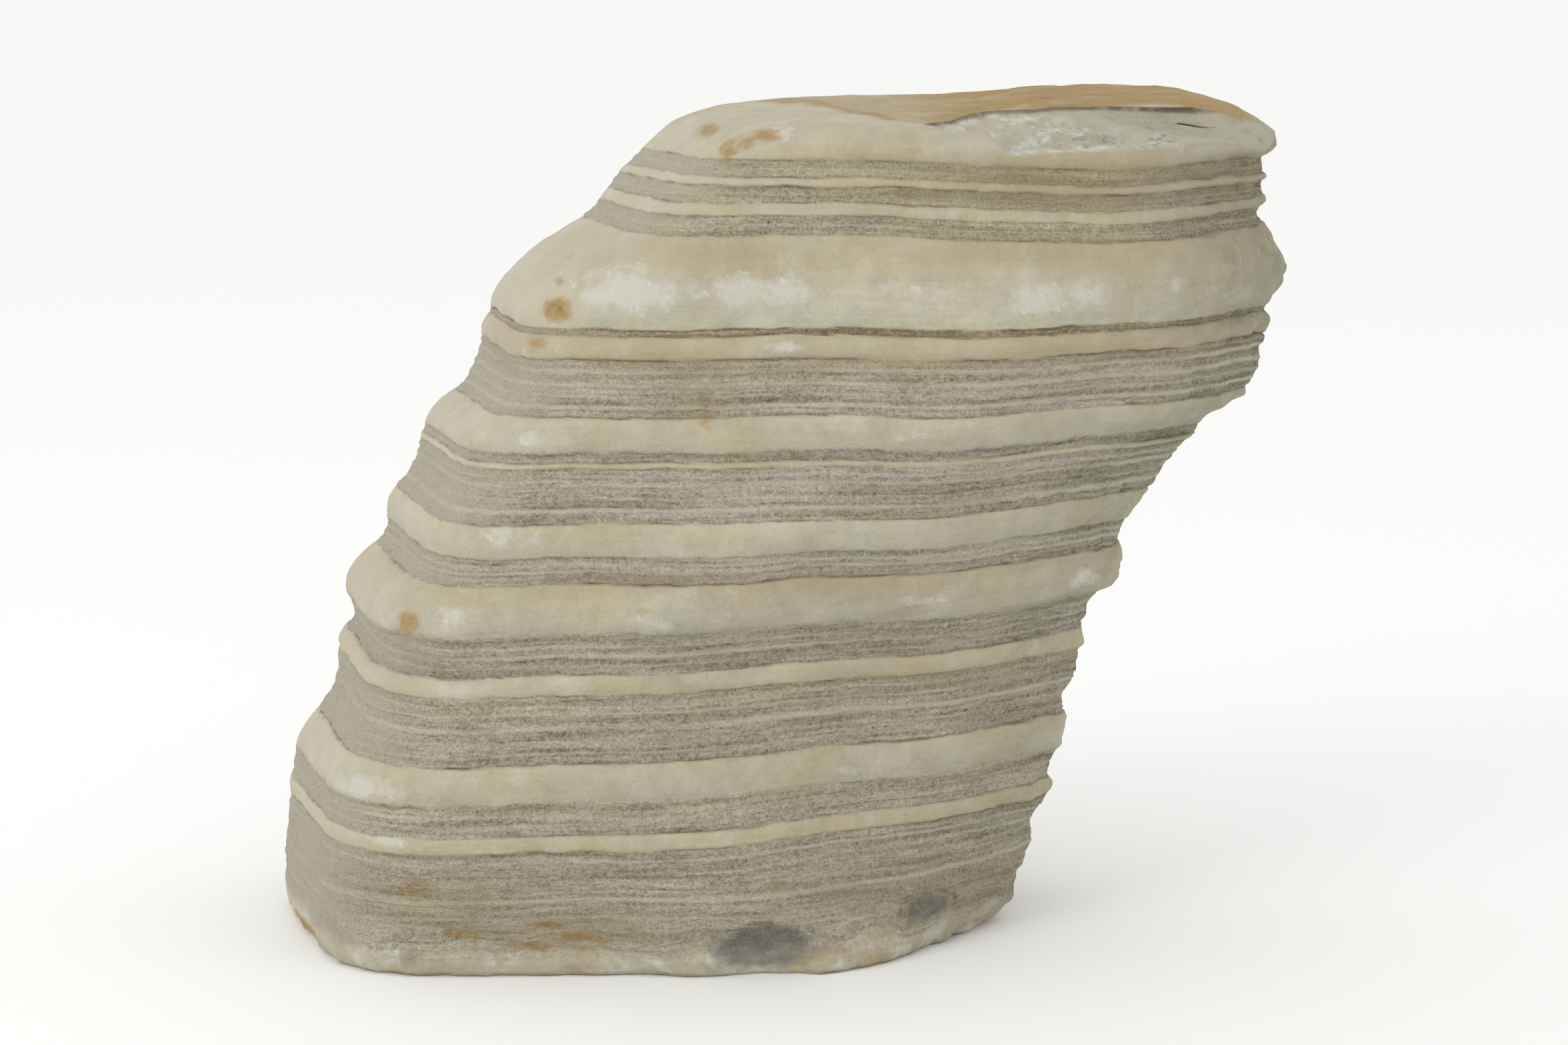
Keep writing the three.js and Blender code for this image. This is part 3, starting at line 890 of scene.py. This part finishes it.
def shade_grain(finish, base, bands, streaks, grain):
    """Laminae, crumbs, grain and dark specks, partly the silt's own tone and partly painted shade and light
    of its crumbs and pits: strong on silt, weak on marble and on the worn faces.
    """
    tree, place, noise, ranged = finish.tree, finish.place, finish.noise, finish.ranged
    silt, worn, nose = finish.silt, finish.worn, finish.value("nose")
    broad_bands = noise(finish.lying(0.03), 480.0, 2.0)
    crumbs = noise(finish.lying(0.8), 800.0, 4.0, 0.68)
    shade = 0.0
    for texture, low, high, darkest, lightest, on_marble in (
            (bands, 0.36, 0.64, -0.2, 0.24, 0.14), (broad_bands, 0.36, 0.64, -0.12, 0.13, 0.0),
            (streaks, 0.3, 0.7, -0.13, 0.15, 0.12), (crumbs, 0.38, 0.62, -0.13, 0.155, 0.12),
            (grain, 0.34, 0.66, -0.23, 0.26, 0.18)):
        tone = ranged(texture, low, high, darkest, lightest)
        shade = plus(tree, shade, times(tree, tone, between(tree, silt, on_marble, 1.0)))
    shade = times(tree, shade, between(tree, worn, 1.0, 0.35))
    specks = ranged(noise(place, 850.0, 2.0), 0.29, 0.36, -0.28, 0.0)
    specks = times(tree, specks, between(tree, silt, 0.06, 0.9), maths(tree, "SUBTRACT", 1.0, worn))
    swells = ranged(noise(place, 38.0, 4.0, 0.6), 0.3, 0.7, -0.05, 0.05)
    mottle = times(tree, ranged(noise(place, 160.0, 4.0, 0.6), 0.3, 0.7, -0.09, 0.09), finish.marble)
    shade = plus(tree, shade, specks, swells, mottle)
    # Painted shade: the right end is darkened to 0.73 and tinted olive, as if less light fell on it.
    lit = times(tree, plus(tree, shade, 1.0), between(tree, nose, 1.0, 0.73))
    # Painted shade is made browner, as the crumbs' shadows look.
    warm = plus(tree, lit, times(tree, shade, 0.2))
    grey = node(tree, "ShaderNodeCombineColor", {0: lit, 1: lit, 2: warm}).outputs[0]
    return finish.blend(1.0, finish.tint(base, "olive", nose, 0.5), grey, "MULTIPLY")


def line_beds(finish, base):
    """The worn faces at the left, painted lighter as lit, the thin ribs, the brownish tint, and the dirt and
    painted shade in the seams.
    """
    noise, ranged, tint, value = finish.noise, finish.ranged, finish.tint, finish.value
    # Painted light: the worn faces at the left are made lighter, as the side that the light falls on.
    base = tint(base, "bleached_and_lit", finish.worn, between(finish.tree, finish.silt, 0.4, 0.9))
    rib_noise = ranged(noise(finish.lying(0.25), 420.0, 3.0), 0.30, 0.46, 0.75, 1.0)
    base = tint(base, "rib", ranged(value("rib"), 0.12, 0.7), rib_noise)
    stain_noise = ranged(noise(finish.lying(0.35), 90.0, 5.0, 0.65), 0.28, 0.52)
    base = tint(base, "stain", value("stain"), stain_noise, 0.9)
    # The seams: dirt, and painted shade in the notches under and over the ledges.
    seam_noise = ranged(noise(finish.lying(0.4), 420.0, 4.0, 0.6), 0.38, 0.58, 0.1, 1.0)
    return tint(base, "seam", value("seam"), seam_noise)


def calcite_and_highlight_share(finish):
    """White calcite, partly painted highlight: marked patches with ragged edges, strewn clouds, and small
    crystals.
    """
    tree, place, apart, noise, ranged = finish.tree, finish.place, finish.apart, finish.noise, finish.ranged
    marked = times(tree, finish.value("calcite_and_highlight"), 0.65)
    ragged = times(tree, noise(place, 45.0, 3.0), 1.2)
    crumble = times(tree, noise(place, 110.0, 6.0, 0.75), 1.6)
    patches = ranged(plus(tree, marked, ragged, crumble), 1.74, 2.02)
    strewn = times(tree, ranged(noise(place, 52.0, 6.0, 0.75), 0.58, 0.72), 0.5)
    slanting = node(tree, "ShaderNodeCombineXYZ", {
        0: plus(tree, apart[0], apart[2]), 1: apart[1],
        2: times(tree, maths(tree, "SUBTRACT", apart[2], apart[0]), 0.35)}).outputs[0]
    crystals = times(tree, ranged(noise(slanting, 420.0, 3.0, 0.6), 0.58, 0.64), ranged(patches, 0.05, 0.5),
                     finish.marble)
    clouds = maths(tree, "MAXIMUM", times(tree, patches, 0.75), strewn)
    return maths(tree, "MAXIMUM", times(tree, clouds, between(tree, finish.marble, 0.3, 1.0)), crystals)


def colour_top(finish, base):
    """The ochre bedding plane, the pale broken slope with its flecks and its white and grey patches, partly
    painted highlight and shade of its facets, and the crack between them.
    """
    place, noise, ranged, tint, value = finish.place, finish.noise, finish.ranged, finish.tint, finish.value
    bedding, broken = value("bedding"), value("broken")
    base = tint(base, "bedding", bedding, ranged(noise(place, 70.0, 6.0, 0.65), 0.22, 0.5, 0.55, 1.0))
    base = tint(base, "seam", bedding, ranged(noise(place, 130.0, 5.0, 0.7), 0.50, 0.68, 0.0, 0.5))
    base = tint(base, "tan", bedding, ranged(noise(place, 75.0, 5.0, 0.7), 0.52, 0.68, 0.0, 0.6))
    base = tint(base, "broken", broken, 0.9)
    # Partly painted highlight and shade: white and grey patches give the slope's facets their contrast.
    base = tint(base, "calcite_and_highlight", broken, ranged(noise(place, 150.0, 5.0, 0.7), 0.48, 0.60, 0.0, 0.9))
    base = tint(base, "silt_dark", broken, ranged(noise(place, 140.0, 5.0, 0.7), 0.47, 0.37, 0.0, 0.8))
    base = tint(base, "cool", broken, value("nose"), 2.2)
    base = tint(base, "fleck", ranged(noise(place, 230.0, 4.0, 0.65), 0.53, 0.60), value("lower"),
                ranged(noise(place, 60.0, 2.0), 0.44, 0.56), 0.85)
    return tint(base, "crack", value("crack"), ranged(noise(place, 300.0, 3.0), 0.32, 0.52, 0.35, 1.0))


def colour_stains(finish, base):
    """Ochre stains, the marked ones and a few on the sides and the back, and the grey hollows at the foot,
    which are partly painted shade.
    """
    tree, place, noise, ranged, tint = finish.tree, finish.place, finish.noise, finish.ranged, finish.tint
    stray = times(tree, finish.value("behind"), ranged(noise(place, 42.0, 4.0, 0.6), 0.66, 0.80))
    stained = plus(tree, finish.value("rust"), stray, noise(finish.lying(0.6), 300.0, 6.0, 0.75))
    base = tint(base, "rust", ranged(stained, 0.86, 1.22),
                ranged(noise(place, 420.0, 4.0, 0.65), 0.35, 0.60, 0.65, 1.0))
    base = tint(base, "crack", ranged(stained, 1.3, 1.6),
                ranged(noise(place, 330.0, 3.0), 0.42, 0.58, 0.1, 0.5))
    # The hollows: a dark line along their rim and grey inside, partly painted shade of the scoops.
    hollow, height = finish.value("hollow"), finish.apart[2]
    rim = maths(tree, "ABSOLUTE", maths(tree, "SUBTRACT", hollow, 0.36))
    base = tint(base, "seam", ranged(rim, 0.09, 0.02), ranged(height, 0.0085, 0.0115),
                ranged(height, 0.03, 0.02), ranged(noise(place, 200.0, 3.0), 0.44, 0.58), 0.75)
    inside = ranged(plus(tree, hollow, noise(place, 150.0, 5.0, 0.65)), 0.85, 1.25)
    return tint(base, "hollow", inside, ranged(noise(place, 260.0, 4.0, 0.65), 0.35, 0.65, 0.6, 1.0))


def stone_normal(finish, bands, streaks, grain):
    """The surface's normal with bumps of grain, grooves along the beds and small dents."""
    tree, silt = finish.tree, finish.silt
    rough_grain = finish.bump(grain, times(tree, between(tree, silt, 0.14, 1.0), GRAIN_DEPTH), 1.0)
    groove_depth = times(tree, between(tree, silt, 0.1, 1.0), GROOVE_DEPTH)
    grooves = finish.bump(plus(tree, bands, streaks), groove_depth, 1.0, rough_grain)
    return finish.bump(finish.noise(finish.place, 300.0, 5.0, 0.6), DENT_DEPTH, 0.7, grooves)


def stone_finish(settings):
    """Banded marble and silt: bed colours, laminae, grain, white calcite, ochre stains and grey hollows, with
    painted light, painted highlights and painted shade among them.
    """
    finish = Finish("banded_stone", settings)
    tree = finish.tree
    bands = finish.noise(finish.lying(0.04), 900.0, 3.0, 0.6)
    streaks = finish.noise(finish.lying(0.5), 1500.0, 3.0, 0.6)
    grain = finish.noise(finish.place, 1500.0, 4.0, 0.7)
    calcite_and_highlight = calcite_and_highlight_share(finish)
    base = cloud_marble(finish, bed_colours(finish))
    base = shade_grain(finish, base, bands, streaks, grain)
    base = finish.tint(line_beds(finish, base), "calcite_and_highlight", calcite_and_highlight)
    base = colour_stains(finish, colour_top(finish, base))
    roughness = maths(tree, "MULTIPLY_ADD", calcite_and_highlight, -0.12, between(tree, finish.silt, 0.62, 0.86))
    shader = node(tree, "ShaderNodeBsdfPrincipled", {
        "Base Color": base, "Roughness": roughness, "Specular IOR Level": 0.25,
        "Normal": stone_normal(finish, bands, streaks, grain)}).outputs[0]
    node(tree, "ShaderNodeOutputMaterial", {"Surface": shader})
    return finish.material


class ROCK_OT_stone(bpy.types.Operator):
    """Make the whole stone with its weathered beds"""

    bl_idname = "rock.stone"
    bl_label = "Banded stone"

    def execute(self, context):
        settings = context.scene.rock_settings
        form = bpy.data.objects.new("stone_form", stone_mesh(settings))
        context.collection.objects.link(form)
        tree, names = weathering_tree(stone_finish(settings))
        weathering = form.modifiers.new("Weathering", "NODES")
        weathering.node_group = tree
        for name, identifier in names.items():
            weathering[identifier] = float(getattr(settings, name.lower().replace(" ", "_")))
        settled = form.evaluated_get(context.evaluated_depsgraph_get())
        mesh = bpy.data.meshes.new_from_object(settled)
        bpy.data.objects.remove(form)
        keep_inside(mesh)
        mesh.name = "stone"
        stone = bpy.data.objects.new("stone", mesh)
        context.collection.objects.link(stone)
        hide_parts("layered_stone")
        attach(stone, "root")
        return {"FINISHED"}


def area_light(name, place, aim, size, power, colour):
    """A square light that looks at a place."""
    lamp = bpy.data.lights.new(name, "AREA")
    lamp.size = size
    lamp.energy = power
    lamp.color = colour
    light = bpy.data.objects.new(name, lamp)
    light.location = place
    light.rotation_euler = (Vector(aim) - Vector(place)).to_track_quat("-Z", "Y").to_euler()
    bpy.context.collection.objects.link(light)


class ROCK_OT_stage(bpy.types.Operator):
    """Make the floor, the soft lights and the camera"""

    bl_idname = "rock.stage"
    bl_label = "Stage and camera"

    def execute(self, context):
        floor_mesh = bpy.data.meshes.new("floor")
        turns = ((-1, -1), (1, -1), (1, 1), (-1, 1))
        corners = [(FLOOR_REACH * across, FLOOR_REACH * back, 0) for across, back in turns]
        floor_mesh.from_pydata(corners, [], [(0, 1, 2, 3)])
        floor = bpy.data.objects.new("floor", floor_mesh)
        paper = bpy.data.materials.new("pale_paper")
        paper.use_nodes = True
        shader = paper.node_tree.nodes["Principled BSDF"]
        shader.inputs["Base Color"].default_value = (0.93, 0.93, 0.92, 1)
        shader.inputs["Roughness"].default_value = 0.9
        floor_mesh.materials.append(paper)
        context.collection.objects.link(floor)

        world = bpy.data.worlds.new("soft_room")
        world.use_nodes = True
        sky = world.node_tree.nodes["Background"]
        sky.inputs["Color"].default_value = (1.0, 1.0, 1.0, 1)
        sky.inputs["Strength"].default_value = 1.0
        context.scene.world = world
        area_light("key", place=(-1.3, -1.4, 1.05), aim=(0, 0, 0.1), size=1.0, power=10,
                   colour=(1.0, 0.99, 0.97))

        lens = bpy.data.cameras.new("camera")
        lens.sensor_width = SENSOR_WIDTH
        lens.lens = SENSOR_WIDTH * FOCAL_LENGTH / PHOTO_WIDTH
        lens.clip_start = 0.01
        lens.clip_end = SIGHT
        camera = bpy.data.objects.new("camera", lens)
        camera.location = (CAMERA_ASIDE, CAD_BOUNDS[0][1] - CAMERA_BEFORE, CAMERA_HEIGHT)
        camera.rotation_euler = (np.radians(90 - CAMERA_TILT), 0, 0)
        context.collection.objects.link(camera)
        context.scene.camera = camera
        context.scene.view_settings.view_transform = "Standard"
        return {"FINISHED"}


class ROCK_PT_panel(bpy.types.Panel):
    """Buttons for the stone and its stage"""

    bl_idname = "ROCK_PT_panel"
    bl_label = "Banded rock"
    bl_space_type = "VIEW_3D"
    bl_region_type = "UI"
    bl_category = "Banded Rock"

    def draw(self, context):
        settings = context.scene.rock_settings
        for name in RockSettings.__annotations__:
            self.layout.prop(settings, name)
        self.layout.operator(ROCK_OT_stone.bl_idname)
        self.layout.operator(ROCK_OT_stage.bl_idname)


CLASSES = (RockSettings, ROCK_OT_stone, ROCK_OT_stage, ROCK_PT_panel)


def register():
    for cls in CLASSES:
        bpy.utils.register_class(cls)
    bpy.types.Scene.rock_settings = PointerProperty(type=RockSettings)


def unregister():
    del bpy.types.Scene.rock_settings
    for cls in reversed(CLASSES):
        bpy.utils.unregister_class(cls)


def main():
    """Builds the stone and its stage."""
    register()
    bpy.ops.rock.stone()
    bpy.ops.rock.stage()
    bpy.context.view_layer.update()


if __name__ == "__main__":
    main()
